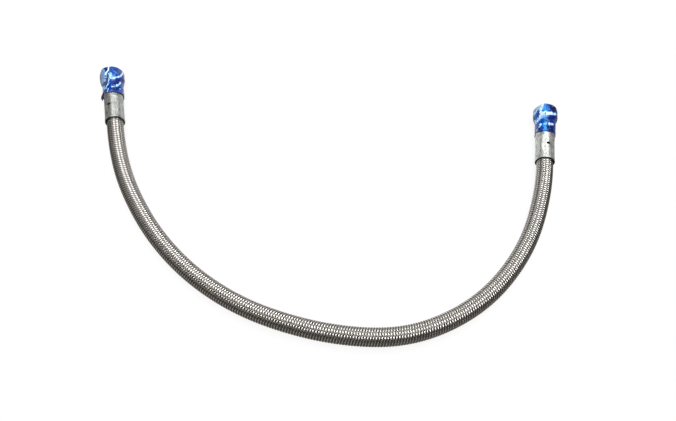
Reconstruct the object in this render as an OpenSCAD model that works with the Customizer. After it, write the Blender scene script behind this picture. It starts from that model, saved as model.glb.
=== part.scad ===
// Braided hose assembly: a PTFE hose with a steel wire braid, a crimped end fitting with a swivel
// nut at each end, and a stretched film cover over each nut.
// It lies in one bow on a flat surface. +Z is up, the surface is Z = 0, and the bow opens to +Y.
// Each fitting is drawn on its own axis, with station 0 at the ferrule's mouth, where the hose
// leaves it, and stations growing towards the port. Sizes are millimetres and degrees.

/* [Hose] */
// Outside diameter over the wire braid
hose_od = 15.5; // [14.5:0.1:17]
// Thickness of the wire braid
braid_wall = 0.55; // [0.4:0.05:0.8]
// Wall thickness of the PTFE liner
liner_wall = 0.9; // [0.7:0.05:1.2]
// Length of hose held inside each ferrule
hose_insert = 35; // [30:0.5:36]

/* [Ferrule] */
// Length of the ferrule
ferrule_len = 45; // [43:0.5:50]
// Wall left under the jaw marks of the crimp
ferrule_wall = 1.1; // [0.9:0.05:1.6]
// Number of jaw marks around the ferrule
jaw_count = 8; // [6:1:10]
// Length of the jaw marks
jaw_len = 25; // [20:0.5:26]
// Distance from the mouth to the jaw marks
jaw_start = 3.4; // [2.5:0.1:4]
// How far the ridges between jaw marks stand above the flats
ridge_step = 0.3; // [0.2:0.05:0.5]
// How far the bell lip stands above the ridges
lip_step = 0.1; // [0.05:0.05:0.5]
// Width of the bell lip at the mouth
lip_w = 2; // [1.5:0.1:2.4]
// How far the mouth flares away from the hose
flare = 0.8; // [0.5:0.1:0.9]
// Length of the flare at the mouth
flare_len = 3; // [2:0.25:5]
// Diameter of the sight hole
sight_d = 2.4; // [1.5:0.1:3]
// Distance from the mouth to the sight hole
sight_pos = 17.5; // [12:0.5:24]
// How far the left ferrule's sight hole is turned from straight up, positive towards +X
sight_turn_left = -17; // [-40:1:40]
// How far the right ferrule's sight hole is turned from straight up, positive towards +X
sight_turn_right = 0; // [-40:1:40]

/* [Stem] */
// Bore through the stem
stem_bore = 8.5; // [7:0.1:9]
// Distance from the ferrule's mouth to the stem's tip
stem_tip = 4; // [2:0.5:8]
// Number of barbs on the tail
barb_count = 6; // [4:1:8]
// Depth of a barb
barb_depth = 0.4; // [0.2:0.05:0.5]
// Length of the flange that the hose's end meets
flange_len = 4.8; // [3.5:0.1:5]
// Diameter of the neck that the ferrule's lock rim grips
neck_od = 11.6; // [11:0.1:13]
// Diameter of the shoulder in front of the ferrule
shoulder_od = 17; // [15.5:0.1:18]
// Thickness of the shoulder
shoulder_w = 1.5; // [1:0.1:2.5]
// Diameter of the nose that the nut turns on
nose_od = 14.6; // [13.8:0.1:15]
// Half angle of the seat cone
seat_angle = 37; // [35:0.5:45]
// Diameter of the seat cone at its mouth
seat_d = 13.2; // [12:0.1:13.6]

/* [Swivel nut] */
// Width across the nut's flats
hex_af = 22; // [21:0.1:24]
// Share by which the rounded corners stand out beyond the flats
corner_share = 0.055; // [0.05:0.005:0.14]
// Length of the hexagon
hex_len = 10; // [9:0.25:13]
// Length of the round collar behind the hexagon
nut_collar_len = 9.5; // [6.5:0.25:10]
// Diameter of the round collar
nut_collar_od = 18.2; // [17.8:0.1:20]
// Minor diameter of the thread in the port
thread_minor = 17.4; // [16.8:0.1:17.8]
// Length of the threaded wall
thread_len = 9.1; // [8:0.1:12.5]
// Chamfer at the mouth of the port
port_chamfer = 0.9; // [0.4:0.1:1.2]
// Diameter of the thrust wire
wire_d = 1.6; // [1.2:0.1:1.8]
// Part of a turn that the thrust wire fills
wire_wrap = 330; // [270:5:345]

/* [Film cover] */
// Thickness of the stretched film
film_wall = 0.3; // [0.2:0.05:0.5]
// Gap between the film and the metal
film_gap = 0.2; // [0.15:0.05:0.4]
// Distance from the ferrule's mouth to the film's edge
film_start = 30; // [28:0.5:34]
// Length over which the left film widens from the ferrule to the hexagon
film_taper_left = 9; // [4:0.5:18]
// Length over which the right film widens from the ferrule to the hexagon
film_taper_right = 4; // [2:0.5:18]
// Radius that rounds the film over the port's rim
film_round = 1; // [0.6:0.1:1.4]

/* [Fits] */
// Gap between pieces that are pressed or crimped together
crimp_gap = 0.05; // [0.02:0.01:0.1]
// Radial gap between the nut and the nose that it turns on
swivel_gap = 0.05; // [0.03:0.01:0.09]
// Gap between faces that move past or butt against each other
face_gap = 0.3; // [0.2:0.05:0.5]

/* [Hidden] */

round_fn = 64;
// Extra length that carries a cut past the face that it opens
past = 1;

// Colours
steel = [0.80, 0.80, 0.77];
zinc = [0.77, 0.79, 0.74];
braid_grey = [0.62, 0.60, 0.57];
ptfe = [0.03, 0.03, 0.03];
film_blue = [0.10, 0.30, 0.85, 0.85];

// Hose
hose_sides = 12;
hose_r = hose_od / 2;
braid_bore_r = hose_r - braid_wall;
liner_r = braid_bore_r - crimp_gap;
liner_bore_r = liner_r - liner_wall;
// The liner's bore is a polygon, so a round tail fits inside its flats
tail_r = liner_bore_r * cos(180 / hose_sides) - crimp_gap;

// Stations along a fitting, from the ferrule's mouth towards the port
flange_start = hose_insert + face_gap;
flange_end = flange_start + flange_len;
rim_start = flange_end + crimp_gap;
shoulder_start = ferrule_len + crimp_gap;
shoulder_end = shoulder_start + shoulder_w;
nut_start = shoulder_end + face_gap;
hex_start = nut_start + nut_collar_len;
nut_end = hex_start + hex_len;
thread_end = nut_end - port_chamfer;
thread_start = thread_end - thread_len;
nose_end = thread_start - crimp_gap;
wire_pos = (nut_start + nose_end) / 2;
film_end = nut_end + film_gap + film_wall;

// Radii
ferrule_bore_r = hose_r + crimp_gap;
flat_r = ferrule_bore_r + ferrule_wall;
ridge_r = flat_r + ridge_step;
lip_r = ridge_r + lip_step;
mouth_r = hose_r + flare;
flange_r = ferrule_bore_r - crimp_gap - barb_depth;
neck_r = neck_od / 2;
nose_r = nose_od / 2;
nut_bore_r = nose_r + swivel_gap;
thread_r = thread_minor / 2;
wire_r = wire_d / 2;
groove_r = wire_r + crimp_gap;
wire_hole_r = wire_r + face_gap;
corner_r = hex_af / 2 * (1 + corner_share);
corner_chamfer = corner_r - hex_af / 2;
film_neck_r = max(ridge_r, nut_collar_od / 2) + film_gap;
film_flat_r = hex_af / 2 + film_gap;
film_corner_r = corner_r + film_gap;

// Layout. The flat of each nut's film lies on the surface.
axis_z = hex_af / 2 + film_gap + film_wall;
hose_z = hose_r + crimp_gap;
mouth_left = [-203.5, -33];
heading_left = 110;
mouth_right = [218.5, -33];
heading_right = 83;
straight_len = 14;
// The bow between the fittings, left to right: x, y, and how far up the hose still is from the
// surface towards the fittings' axis, as a share
BOW = [
    [-192, -62, 0.85], [-179, -89, 0.5], [-162, -115, 0.17], [-143, -139, 0.03],
    [-121, -161, 0], [-97, -180, 0], [-70, -196, 0], [-42, -208, 0],
    [-12, -216, 0], [19, -221, 0], [49, -222, 0], [80, -219, 0],
    [109, -209, 0], [136, -193, 0], [159, -173, 0], [178, -149, 0.03],
    [194, -122, 0.17], [205, -94, 0.5], [213, -65, 0.85]
];

function on_axis(mouth, heading, station) =
    [mouth.x + station * cos(heading), mouth.y + station * sin(heading), axis_z];

ROUTE = concat(
    [for (s = [hose_insert, 0, -straight_len]) on_axis(mouth_left, heading_left, s)],
    [for (p = BOW) [p.x, p.y, hose_z + p[2] * (axis_z - hose_z)]],
    [for (s = [-straight_len, 0, hose_insert]) on_axis(mouth_right, heading_right, s)]
);

// Lofts
function flatten(lists) = [for (l = lists) each l];
function reversed(list) = [for (i = [len(list) - 1 : -1 : 0]) list[i]];

// The triangles between ring a and ring b, of m points each
function band(a, b, m) = [
    for (i = [0 : m - 1]) let (j = (i + 1) % m)
        each [[a * m + i, a * m + j, b * m + j], [a * m + i, b * m + j, b * m + i]]
];

// The ring of points of radius r around the route's point i, square to the route there
function route_ring(i, r) =
    let (
        ahead = ROUTE[min(i + 1, len(ROUTE) - 1)],
        back = ROUTE[max(i - 1, 0)],
        along = (ahead - back) / norm(ahead - back),
        side = cross(along, [0, 0, 1]) / norm(cross(along, [0, 0, 1])),
        up = cross(side, along)
    )
    [for (k = [0 : hose_sides - 1]) let (a = 360 * k / hose_sides)
        ROUTE[i] + r * (cos(a) * side + sin(a) * up)];

// A hollow tube along the whole route: out along its outside and back along its bore
module hose_tube(r, bore_r) {
    outside = [for (i = [0 : len(ROUTE) - 1]) route_ring(i, r)];
    inside = [for (i = [0 : len(ROUTE) - 1]) route_ring(i, bore_r)];
    rings = concat(outside, reversed(inside));
    n = len(rings);
    polyhedron(flatten(rings), flatten([for (i = [0 : n - 1]) band(i, (i + 1) % n, hose_sides)]));
}

// Puts a fitting's piece on the axis of one end
module at_end(mouth, heading) {
    translate([mouth.x, mouth.y, axis_z]) rotate([0, 90, heading]) children();
}

module turned(profile) {
    rotate_extrude($fn = round_fn) polygon(profile);
}

// A ring of round wire about the fitting's axis
module wire_ring(r, turn = 360) {
    translate([0, 0, wire_pos])
        rotate_extrude(angle = turn, $fn = round_fn) translate([nose_r, 0]) circle(r);
}

// One jaw's cut: a flat that ramps out at both ends
module jaw_mark() {
    ramp = 3 * ridge_step;
    top = lip_r + past;
    rise = (top - flat_r) / ridge_step * ramp;
    rotate([90, 0, 0]) linear_extrude(2 * lip_r, center = true) polygon([
        [flat_r, jaw_start], [flat_r, jaw_start + jaw_len],
        [top, jaw_start + jaw_len + rise], [top, jaw_start - rise]
    ]);
}

module ferrule(sight_turn) {
    soft = lip_w / 4;
    front_soft = ferrule_wall / 2;
    color(zinc) difference() {
        turned([
            [mouth_r, 0], [lip_r - soft, 0], [lip_r, soft], [lip_r, lip_w - soft],
            [ridge_r, lip_w + lip_step], [ridge_r, ferrule_len - front_soft],
            [ridge_r - front_soft, ferrule_len],
            [neck_r + crimp_gap, ferrule_len], [neck_r + crimp_gap, rim_start],
            [ferrule_bore_r, rim_start], [ferrule_bore_r, flare_len]
        ]);
        for (k = [0 : jaw_count - 1]) rotate((k + 0.5) * 360 / jaw_count) jaw_mark();
        translate([0, 0, sight_pos]) rotate([0, -90, sight_turn])
            cylinder(h = lip_r + past, d = sight_d, $fn = round_fn);
    }
}

// The tail's barbs as profile points, each rising from the tip's side and dropping behind
function barbs() =
    let (pitch = (flange_start - stem_tip) / (barb_count + 1))
    [for (k = [0 : barb_count - 1]) let (s = stem_tip + k * pitch)
        each [[tail_r - barb_depth, s], [tail_r, s + 0.8 * pitch], [tail_r, s + pitch]]];

module stem() {
    bore_r = stem_bore / 2;
    seat_depth = (seat_d / 2 - bore_r) / tan(seat_angle);
    tail_end = stem_tip + (flange_start - stem_tip) * barb_count / (barb_count + 1);
    color(steel) difference() {
        turned(concat(
            [[bore_r, stem_tip]], barbs(),
            [
                [tail_r - barb_depth, tail_end], [tail_r - barb_depth, flange_start],
                [flange_r, flange_start], [flange_r, flange_end],
                [neck_r, flange_end], [neck_r, shoulder_start],
                [shoulder_od / 2, shoulder_start], [shoulder_od / 2, shoulder_end],
                [nose_r, shoulder_end], [nose_r, nose_end],
                [seat_d / 2, nose_end], [bore_r, nose_end - seat_depth]
            ]
        ));
        wire_ring(groove_r);
    }
}

module thrust_wire() {
    color(steel) wire_ring(wire_r, wire_wrap);
}

module swivel_nut() {
    edge = 2 * swivel_gap + corner_chamfer / 2;
    collar_r = nut_collar_od / 2;
    color(steel) difference() {
        union() {
            turned([
                [0, nut_start], [collar_r - edge, nut_start], [collar_r, nut_start + edge],
                [collar_r, hex_start + edge], [0, hex_start + edge]
            ]);
            intersection() {
                translate([0, 0, hex_start]) rotate(30)
                    cylinder(h = hex_len, r = hex_af / 2 / cos(30), $fn = 6);
                turned([
                    [0, hex_start], [corner_r - corner_chamfer, hex_start],
                    [corner_r, hex_start + corner_chamfer * tan(30)],
                    [corner_r, nut_end - corner_chamfer * tan(30)],
                    [corner_r - corner_chamfer, nut_end], [0, nut_end]
                ]);
            }
        }
        translate([0, 0, nut_start - past])
            cylinder(h = nut_end - nut_start + 2 * past, r = nut_bore_r, $fn = round_fn);
        translate([0, 0, thread_start])
            cylinder(h = nut_end - thread_start + past, r = thread_r, $fn = round_fn);
        turned([
            [0, thread_end], [thread_r, thread_end],
            [thread_r + port_chamfer + past, nut_end + past], [0, nut_end + past]
        ]);
        wire_ring(groove_r);
        translate([0, 0, wire_pos]) rotate([0, -90, 0])
            cylinder(h = collar_r + past, r = wire_hole_r, $fn = round_fn);
    }
}

// Angles around the film: the middle, halfway and end of each flat, and each corner
film_corner = acos(film_flat_r / film_corner_r);
film_angles = [
    for (k = [0 : 5]) each [for (m = [-30, -film_corner, -film_corner / 2, 0,
                                     film_corner / 2, film_corner]) 60 * k + m]
];

// Distance from the axis to the film over the hexagon, at an angle
function film_hex_r(angle) =
    let (m = abs((angle + 390) % 60 - 30)) min(film_flat_r / cos(m), film_corner_r);

// A ring of film: share goes from 0 on the round neck to 1 on the hexagon
function film_ring(station, share, out) = [
    for (a = film_angles)
        let (r = film_neck_r + share * (film_hex_r(a) - film_neck_r) + out)
        [r * cos(a), r * sin(a), station]
];

// The film: from the middle of its inner end along its inside to the open edge, and back along its
// outside to the middle of its outer end
module film_cover(taper) {
    steps = 5;
    m = len(film_angles);
    inner_end = nut_end + film_gap;
    neck_end = hex_start - taper;
    walls = [
        [film_start, 0],
        for (k = [0 : steps]) let (t = k / steps) [neck_end + t * taper, t * t * (3 - 2 * t)],
        [film_end - film_round, 1]
    ];
    inside = [
        film_ring(inner_end, 1, 0), for (w = reversed(walls)) film_ring(w[0], w[1], 0)
    ];
    outside = [
        for (w = walls) film_ring(w[0], w[1], film_wall),
        for (a = [30, 60, 90])
            film_ring(film_end - film_round * (1 - sin(a)), 1, film_wall - film_round * (1 - cos(a)))
    ];
    rings = concat(inside, outside);
    n = len(rings);
    first_pole = n * m;
    points = concat(flatten(rings), [[0, 0, inner_end], [0, 0, film_end]]);
    color(film_blue) polyhedron(points, concat(
        flatten([for (i = [0 : n - 2]) band(i, i + 1, m)]),
        [for (i = [0 : m - 1]) [first_pole, (i + 1) % m, i]],
        [for (i = [0 : m - 1]) [first_pole + 1, (n - 1) * m + i, (n - 1) * m + (i + 1) % m]]
    ));
}

module wire_braid() { color(braid_grey) hose_tube(hose_r, braid_bore_r); }
module ptfe_liner() { color(ptfe) hose_tube(liner_r, liner_bore_r); }
module left_end() { at_end(mouth_left, heading_left) children(); }
module right_end() { at_end(mouth_right, heading_right) children(); }

wire_braid();
ptfe_liner();
left_end() ferrule(sight_turn_left);  // ferrule_left
left_end() stem();  // stem_left
left_end() thrust_wire();  // thrust_wire_left
left_end() swivel_nut();  // swivel_nut_left
left_end() film_cover(film_taper_left);  // film_cover_left
right_end() ferrule(sight_turn_right);  // ferrule_right
right_end() stem();  // stem_right
right_end() thrust_wire();  // thrust_wire_right
right_end() swivel_nut();  // swivel_nut_right
right_end() film_cover(film_taper_right);  // film_cover_right
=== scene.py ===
"""The looks of a braided hose assembly: wire braid, crimped ferrules, swivel nuts and film covers.

Metres, +Z up, the surface is Z = 0. Each fitting is worked out along its own axis: a station is the
distance from the ferrule's mouth towards the port, and an angle of 0 points straight up.
"""
import math
from functools import partialmethod

import bmesh
import bpy
import numpy as np
from mathutils import Matrix, Vector, noise


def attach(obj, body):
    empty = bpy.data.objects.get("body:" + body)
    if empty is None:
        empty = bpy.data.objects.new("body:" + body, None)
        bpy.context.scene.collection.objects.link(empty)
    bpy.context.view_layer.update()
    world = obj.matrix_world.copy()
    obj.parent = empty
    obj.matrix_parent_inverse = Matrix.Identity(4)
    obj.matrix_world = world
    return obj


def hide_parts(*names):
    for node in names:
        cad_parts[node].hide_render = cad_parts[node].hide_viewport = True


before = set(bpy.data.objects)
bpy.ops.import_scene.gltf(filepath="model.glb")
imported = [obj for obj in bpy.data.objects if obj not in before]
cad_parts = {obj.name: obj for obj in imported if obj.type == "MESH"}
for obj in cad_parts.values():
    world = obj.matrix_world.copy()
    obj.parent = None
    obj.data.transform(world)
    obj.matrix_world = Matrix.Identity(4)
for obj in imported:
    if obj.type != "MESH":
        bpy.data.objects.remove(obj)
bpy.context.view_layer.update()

MM = 0.001

# ---- Sizes ----

# Hose
HOSE_R = 7.75 * MM
LINER_R = 7.15 * MM
LINER_BORE_R = 6.25 * MM
LINER_SIDES = 32
HOSE_INSERT = 35 * MM
HOSE_LEN = 618 * MM
# The hose's end inside a ferrule, squeezed by the crimp
TAIL_R = 7.7 * MM
TAIL_SIDES = 48

# Wire braid: bands of parallel wires, wound both ways
STRANDS_EACH_WAY = 12
STRANDS_PER_PIECE = 3
BRAID_PITCH = 2.25 * MM
BRAID_LEAD = STRANDS_EACH_WAY * BRAID_PITCH
STRAND_W = 1.85 * MM
WIRES_PER_STRAND = 7
WIRE_HEIGHT = 0.09 * MM
STRAND_DOME = 0.22 * MM
BRAID_LIFT = 0.28 * MM
RINGS_PER_PITCH = 7
BRAID_TUCK = 8 * MM
# The weave's rings lean along the hose on top and back underneath, and less so near its ends
RING_LEAN = 2.0 * MM
RING_LEAN_FROM = math.radians(85)
RING_LEAN_FADE = 20 * MM
# Each hand's name, its direction, its share of painted light, and the seed of its strands' tones;
# the left hand is painted darker, as painted shade
BRAID_HANDS = [("right_hand", 1.0, 1.0, 7), ("left_hand", -1.0, 0.7, 11)]

# Fitting, by station
FERRULE_LEN = 45 * MM
FERRULE_NECK = 4.85 * MM
JAW_START = 3.4 * MM
JAW_END = 28.4 * MM
JAW_RUN_OUT = 1.6 * MM
LIP_W = 2 * MM
FLARE_LEN = 3 * MM
SIGHT_POS = 17.5 * MM
SIGHT_R = 1.5 * MM
NUT_START = 46.85 * MM
HEX_START = 56.35 * MM
NUT_END = 66.35 * MM
FILM_END = 66.85 * MM
THREAD_START = 56.35 * MM
WIRE_POS = 51.575 * MM

# Fitting, by radius
TURNED_SIDES = 144
JAWS = 8
FLAT_R = 8.9 * MM
RIDGE_R = 9.2 * MM
RIDGE_ROUND = 0.22 * MM
LIP_R = 9.3 * MM
MOUTH_R = 8.55 * MM
# Inside this radius the mouth's rim is painted dark, as painted shade
RIM_R = 8.95 * MM
FERRULE_BORE_R = 7.8 * MM
NECK_BORE_R = 5.85 * MM
HEX_FLAT_R = 11 * MM
HEX_CORNER_R = 11.605 * MM
HEX_ROUND = 0.12 * MM
HEX_CHAMFER = math.tan(math.radians(30))
COLLAR_R = 9.1 * MM
NUT_BORE_R = 7.35 * MM
THREAD_CREST_R = 8.7 * MM
THREAD_ROOT_R = 9.5 * MM
THREAD_PITCH = 1.5875 * MM
PORT_CHAMFER = 0.9 * MM
WIRE_HOLE_R = 1.1 * MM

# Layout
AXIS_Z = 11.5 * MM
HOSE_Z = 7.8 * MM
STRAIGHT_LEN = 14 * MM
MOUTHS = {"left": (-0.2035, -0.033), "right": (0.2185, -0.033)}
HEADINGS = {"left": math.radians(110), "right": math.radians(83)}
SIGHT_TURN = {"left": math.radians(-17), "right": 0.0}
# The bow between the fittings: x, y, and how far up the hose still is towards the fittings' axis
BOW = [
    (-0.192, -0.062, 0.85), (-0.179, -0.089, 0.5), (-0.162, -0.115, 0.17), (-0.143, -0.139, 0.03),
    (-0.121, -0.161, 0), (-0.097, -0.180, 0), (-0.070, -0.196, 0), (-0.042, -0.208, 0),
    (-0.012, -0.216, 0), (0.019, -0.221, 0), (0.049, -0.222, 0), (0.080, -0.219, 0),
    (0.109, -0.209, 0), (0.136, -0.193, 0), (0.159, -0.173, 0), (0.178, -0.149, 0.03),
    (0.194, -0.122, 0.17), (0.205, -0.094, 0.5), (0.213, -0.065, 0.85),
]


class End:
    """One end of the hose: its ferrule's mouth, and its axis towards the port."""

    def __init__(self, name):
        heading = HEADINGS[name]
        self.name = name
        self.mouth = np.array([*MOUTHS[name], AXIS_Z])
        self.axis = np.array([math.cos(heading), math.sin(heading), 0.0])
        self.up = np.array([0.0, 0.0, 1.0])
        self.side = np.cross(self.axis, self.up)

    def at(self, angle, radius, station):
        """The points at these angles, radii and stations."""
        angle, radius, station = np.broadcast_arrays(angle, radius, station)
        out = np.cos(angle)[..., None] * self.up + np.sin(angle)[..., None] * self.side
        return self.mouth + station[..., None] * self.axis + radius[..., None] * out


ENDS = [End("left"), End("right")]


def add_object(name, data):
    thing = bpy.data.objects.new(name, data)
    bpy.context.scene.collection.objects.link(thing)
    return thing


def make_camera():
    data = bpy.data.cameras.new("camera")
    data.lens = 27.85
    data.sensor_width = 36
    data.clip_start = 0.01
    camera = add_object("camera", data)
    place = Matrix.Translation((0.030, -0.353, 0.4154))
    turn = Matrix.Rotation(math.radians(1.553), 4, "Z")
    tilt = Matrix.Rotation(math.pi / 2 - math.radians(58.9), 4, "X")
    roll = Matrix.Rotation(math.radians(4.1), 4, "Z")
    camera.matrix_world = place @ turn @ tilt @ roll
    bpy.context.scene.camera = camera


# ---- Node helpers ----


class Nodes:
    """Builds a node tree. An input takes a value, an output, or a node for its first output."""

    def __init__(self, tree):
        self.tree = tree

    def put(self, socket, value):
        if isinstance(value, bpy.types.Node):
            value = value.outputs[0]
        if isinstance(value, bpy.types.NodeSocket):
            self.tree.links.new(value, socket)
        else:
            socket.default_value = value

    def fill(self, node, inputs):
        """Sets a node's inputs by their names or numbers."""
        for key, value in inputs.items():
            self.put(node.inputs[key], value)

    def add(self, kind, inputs=None, **settings):
        node = self.tree.nodes.new(kind)
        for name, value in settings.items():
            setattr(node, name, value)
        self.fill(node, inputs or {})
        return node

    def math(self, operation, *values):
        return self.add("ShaderNodeMath", dict(enumerate(values)), operation=operation)

    times = partialmethod(math, "MULTIPLY")
    plus = partialmethod(math, "ADD")
    minus = partialmethod(math, "SUBTRACT")
    over = partialmethod(math, "DIVIDE")

    def vector(self, operation, *values):
        return self.add("ShaderNodeVectorMath", dict(enumerate(values)), operation=operation)

    def ramp(self, value, stops):
        """A colour ramp with (position, colour) stops."""
        node = self.add("ShaderNodeValToRGB", {0: value})
        elements = node.color_ramp.elements
        while len(elements) < len(stops):
            elements.new(0.5)
        for element, (position, colour) in zip(elements, stops):
            element.position = position
            element.color = (*colour, 1)
        return node

    def mixed(self, factor, first, second):
        return self.add("ShaderNodeMix", {"Factor": factor, "A": first, "B": second})

    def mixed_colour(self, factor, first, second):
        node = self.add("ShaderNodeMix", {"Factor": factor}, data_type="RGBA")
        sockets = {socket.identifier: socket for socket in [*node.inputs, *node.outputs]}
        self.put(sockets["A_Color"], first)
        self.put(sockets["B_Color"], second)
        return sockets["Result_Color"]

    def spread(self, value, low, high):
        """Maps 0 to 1 onto low to high."""
        return self.add("ShaderNodeMapRange", {"Value": value, "To Min": low, "To Max": high})

    def noise(self, place, scale, detail):
        return self.add("ShaderNodeTexNoise", {"Vector": place, "Scale": scale, "Detail": detail})

    def attribute(self, name):
        return self.add("ShaderNodeAttribute", attribute_name=name).outputs["Fac"]

    def bump(self, height, strength, distance):
        inputs = {"Height": height, "Strength": strength, "Distance": distance}
        return self.add("ShaderNodeBump", inputs)

    def group_tone(self, name, inputs):
        return self.add("ShaderNodeGroup", inputs, node_tree=bpy.data.node_groups[name])

    def mottle(self, blotch, speck, speck_share):
        inputs = {"Blotch Size": blotch, "Speck Size": speck, "Speck Share": speck_share}
        return self.group_tone("Mottle", inputs)


SOCKET_KINDS = {float: "NodeSocketFloat", int: "NodeSocketInt", type(None): "NodeSocketGeometry"}


def node_group(name, kind, inputs, outputs):
    """An empty node group, its helper and both its ends. A geometry socket's value is None."""
    tree = bpy.data.node_groups.new(name, kind)
    for in_out, sockets in (("INPUT", inputs), ("OUTPUT", outputs)):
        for title, value in sockets.items():
            socket_type = SOCKET_KINDS[type(value)]
            socket = tree.interface.new_socket(title, in_out=in_out, socket_type=socket_type)
            if value is not None:
                socket.default_value = value
    nodes = Nodes(tree)
    given = nodes.add("NodeGroupInput").outputs
    result = nodes.add("NodeGroupOutput").inputs
    return tree, nodes, given, result


# ---- Materials ----


def make_mottle_group():
    """Soft blotches and fine specks over a surface, as one tone from 0 to 1."""
    sizes = {"Blotch Size": 0.01, "Speck Size": 0.001}
    _, nodes, given, result = node_group(
        "Mottle", "ShaderNodeTree", {**sizes, "Speck Share": 0.3}, {"Tone": 0.0}
    )
    place = nodes.add("ShaderNodeTexCoord").outputs["Object"]
    tones = [nodes.noise(place, nodes.over(1.0, given[size]), 4.0) for size in sizes]
    nodes.put(result["Tone"], nodes.mixed(given["Speck Share"], *tones))


def make_drawn_lines_group():
    """Fine lines along a fitting, laid out by its own UV map."""
    _, nodes, given, result = node_group(
        "Drawn lines", "ShaderNodeTree", {"Lines Around": 90.0, "Lines Along": 3.0}, {"Tone": 0.0}
    )
    uv = nodes.add("ShaderNodeUVMap", uv_map="wrap")
    parts = nodes.add("ShaderNodeSeparateXYZ", {"Vector": uv}).outputs
    turn = nodes.times(parts["X"], math.tau)
    around = nodes.over(given["Lines Around"], math.tau)
    place = nodes.add("ShaderNodeCombineXYZ", {
        "X": nodes.times(nodes.math("COSINE", turn), around),
        "Y": nodes.times(nodes.math("SINE", turn), around),
        "Z": nodes.times(parts["Y"], given["Lines Along"]),
    })
    nodes.put(result["Tone"], nodes.noise(place, 1.0, 3.0))


def new_material(name):
    """A material, its node helper and its shader."""
    material = bpy.data.materials.new(name)
    material.use_nodes = True
    tree = material.node_tree
    return material, Nodes(tree), tree.nodes["Principled BSDF"]


def braid_wire_material():
    """Bright drawn stainless wire, with painted shade in the weave's dips and painted light on its
    crowns.
    """
    material, nodes, shader = new_material("stainless braid wire")
    tone = nodes.mottle(0.012, 0.0007, 0.45)
    wire = nodes.ramp(nodes.mixed(0.35, tone, nodes.attribute("strand_tone")), [
        (0.25, (0.76, 0.73, 0.69)), (0.5, (0.90, 0.87, 0.83)), (0.75, (0.98, 0.96, 0.93)),
    ])
    # The weave's painted light mixes the wire's colour with a dark grey that is painted shade
    bright = nodes.ramp(nodes.attribute("crown"), [(0.25, (0, 0, 0)), (0.70, (1, 1, 1))])
    nodes.fill(shader, {
        "Metallic": 1.0,
        "Base Color": nodes.mixed_colour(bright, (0.19, 0.178, 0.165, 1), wire),
        "Roughness": nodes.spread(tone, 0.29, 0.35),
    })
    return material


def liner_material():
    """Black PTFE, seen only through the braid's gaps, where its dark colour is painted shade."""
    material, nodes, shader = new_material("black ptfe")
    tone = nodes.mottle(0.02, 0.001, 0.3)
    stops = [(0.3, (0.012, 0.012, 0.011)), (0.7, (0.035, 0.033, 0.030))]
    nodes.fill(shader, {
        "Base Color": nodes.ramp(tone, stops), "Roughness": nodes.spread(tone, 0.35, 0.6),
    })
    return material


# Painted light on each ferrule's plating: the left one is painted darker, as painted shade
ZINC_PAINTED_LIGHT = {"left": 0.78, "right": 1.04}


def zinc_material(side):
    """Clear zinc plating over a drawn tube: fine lines along it and a faint green cast."""
    material, nodes, shader = new_material(f"zinc plate {side}")
    tone = nodes.mottle(0.005, 0.0009, 0.4)
    lines = nodes.group_tone("Drawn lines", {"Lines Around": 70.0, "Lines Along": 2.5})
    both = nodes.mixed(0.68, tone, lines)
    stops = [(0.38, (0.30, 0.32, 0.30)), (0.5, (0.54, 0.56, 0.53)), (0.62, (0.78, 0.79, 0.77))]
    # Each side's copy of the plating is scaled by its painted light
    shaded = [(at, [part * ZINC_PAINTED_LIGHT[side] for part in colour]) for at, colour in stops]
    nodes.fill(shader, {
        "Metallic": 0.88, "Base Color": nodes.ramp(both, shaded),
        "Roughness": nodes.spread(both, 0.40, 0.58), "Normal": nodes.bump(both, 0.5, 0.0003),
    })
    return material


def bore_shade_material():
    """Painted shade for the unlit inside of a ferrule."""
    material, nodes, shader = new_material("painted bore shade")
    nodes.fill(shader, {"Base Color": (0.012, 0.012, 0.011, 1), "Roughness": 0.7})
    return material


def fitting_material():
    """Machined steel of the nut, the stem and the thrust wire."""
    material, nodes, shader = new_material("machined steel")
    tone = nodes.mottle(0.008, 0.0006, 0.4)
    nodes.fill(shader, {
        "Metallic": 1.0,
        "Base Color": nodes.ramp(tone, [(0.3, (0.52, 0.51, 0.46)), (0.7, (0.72, 0.71, 0.66))]),
        "Roughness": nodes.spread(tone, 0.22, 0.38),
    })
    return material


def film_material():
    """Stretched blue film: pale where one layer lies loose and for painted highlights, navy where
    many lie on each other and for painted shade.
    """
    material, nodes, shader = new_material("blue film")
    tone = nodes.mottle(0.003, 0.0010, 0.5)
    layers_and_light = nodes.plus(nodes.attribute("film_layers"), nodes.spread(tone, -0.12, 0.12))
    colour = nodes.ramp(layers_and_light, [
        (0.0, (0.82, 0.88, 0.96)), (0.10, (0.42, 0.68, 0.92)), (0.24, (0.05, 0.40, 0.80)),
        (0.40, (0.002, 0.15, 0.54)), (0.58, (0.001, 0.04, 0.32)), (0.78, (0.001, 0.008, 0.12)),
        (1.0, (0.006, 0.006, 0.05)),
    ])
    clear = nodes.attribute("film_clear")
    nodes.fill(shader, {
        "Specular IOR Level": 0.3, "Coat Weight": 0.25, "Coat Roughness": 0.08,
        "Base Color": nodes.mixed_colour(clear, colour, (0.20, 0.20, 0.29, 1)),
        "Roughness": nodes.spread(tone, 0.14, 0.34), "Normal": nodes.bump(tone, 0.35, 0.0004),
    })
    return material


# ---- Mesh helpers ----

SHARP_ANGLE = math.radians(38)


def circle(sides):
    return np.arange(sides) / sides * math.tau


def smooth_step(x):
    x = np.clip(x, 0, 1)
    return x * x * (3 - 2 * x)


def soft_least(a, b, width):
    """The lesser of a and b, rounded over a width where they cross."""
    mix = np.clip(0.5 + 0.5 * (b - a) / width, 0, 1)
    return b * (1 - mix) + a * mix - width * mix * (1 - mix)


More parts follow.
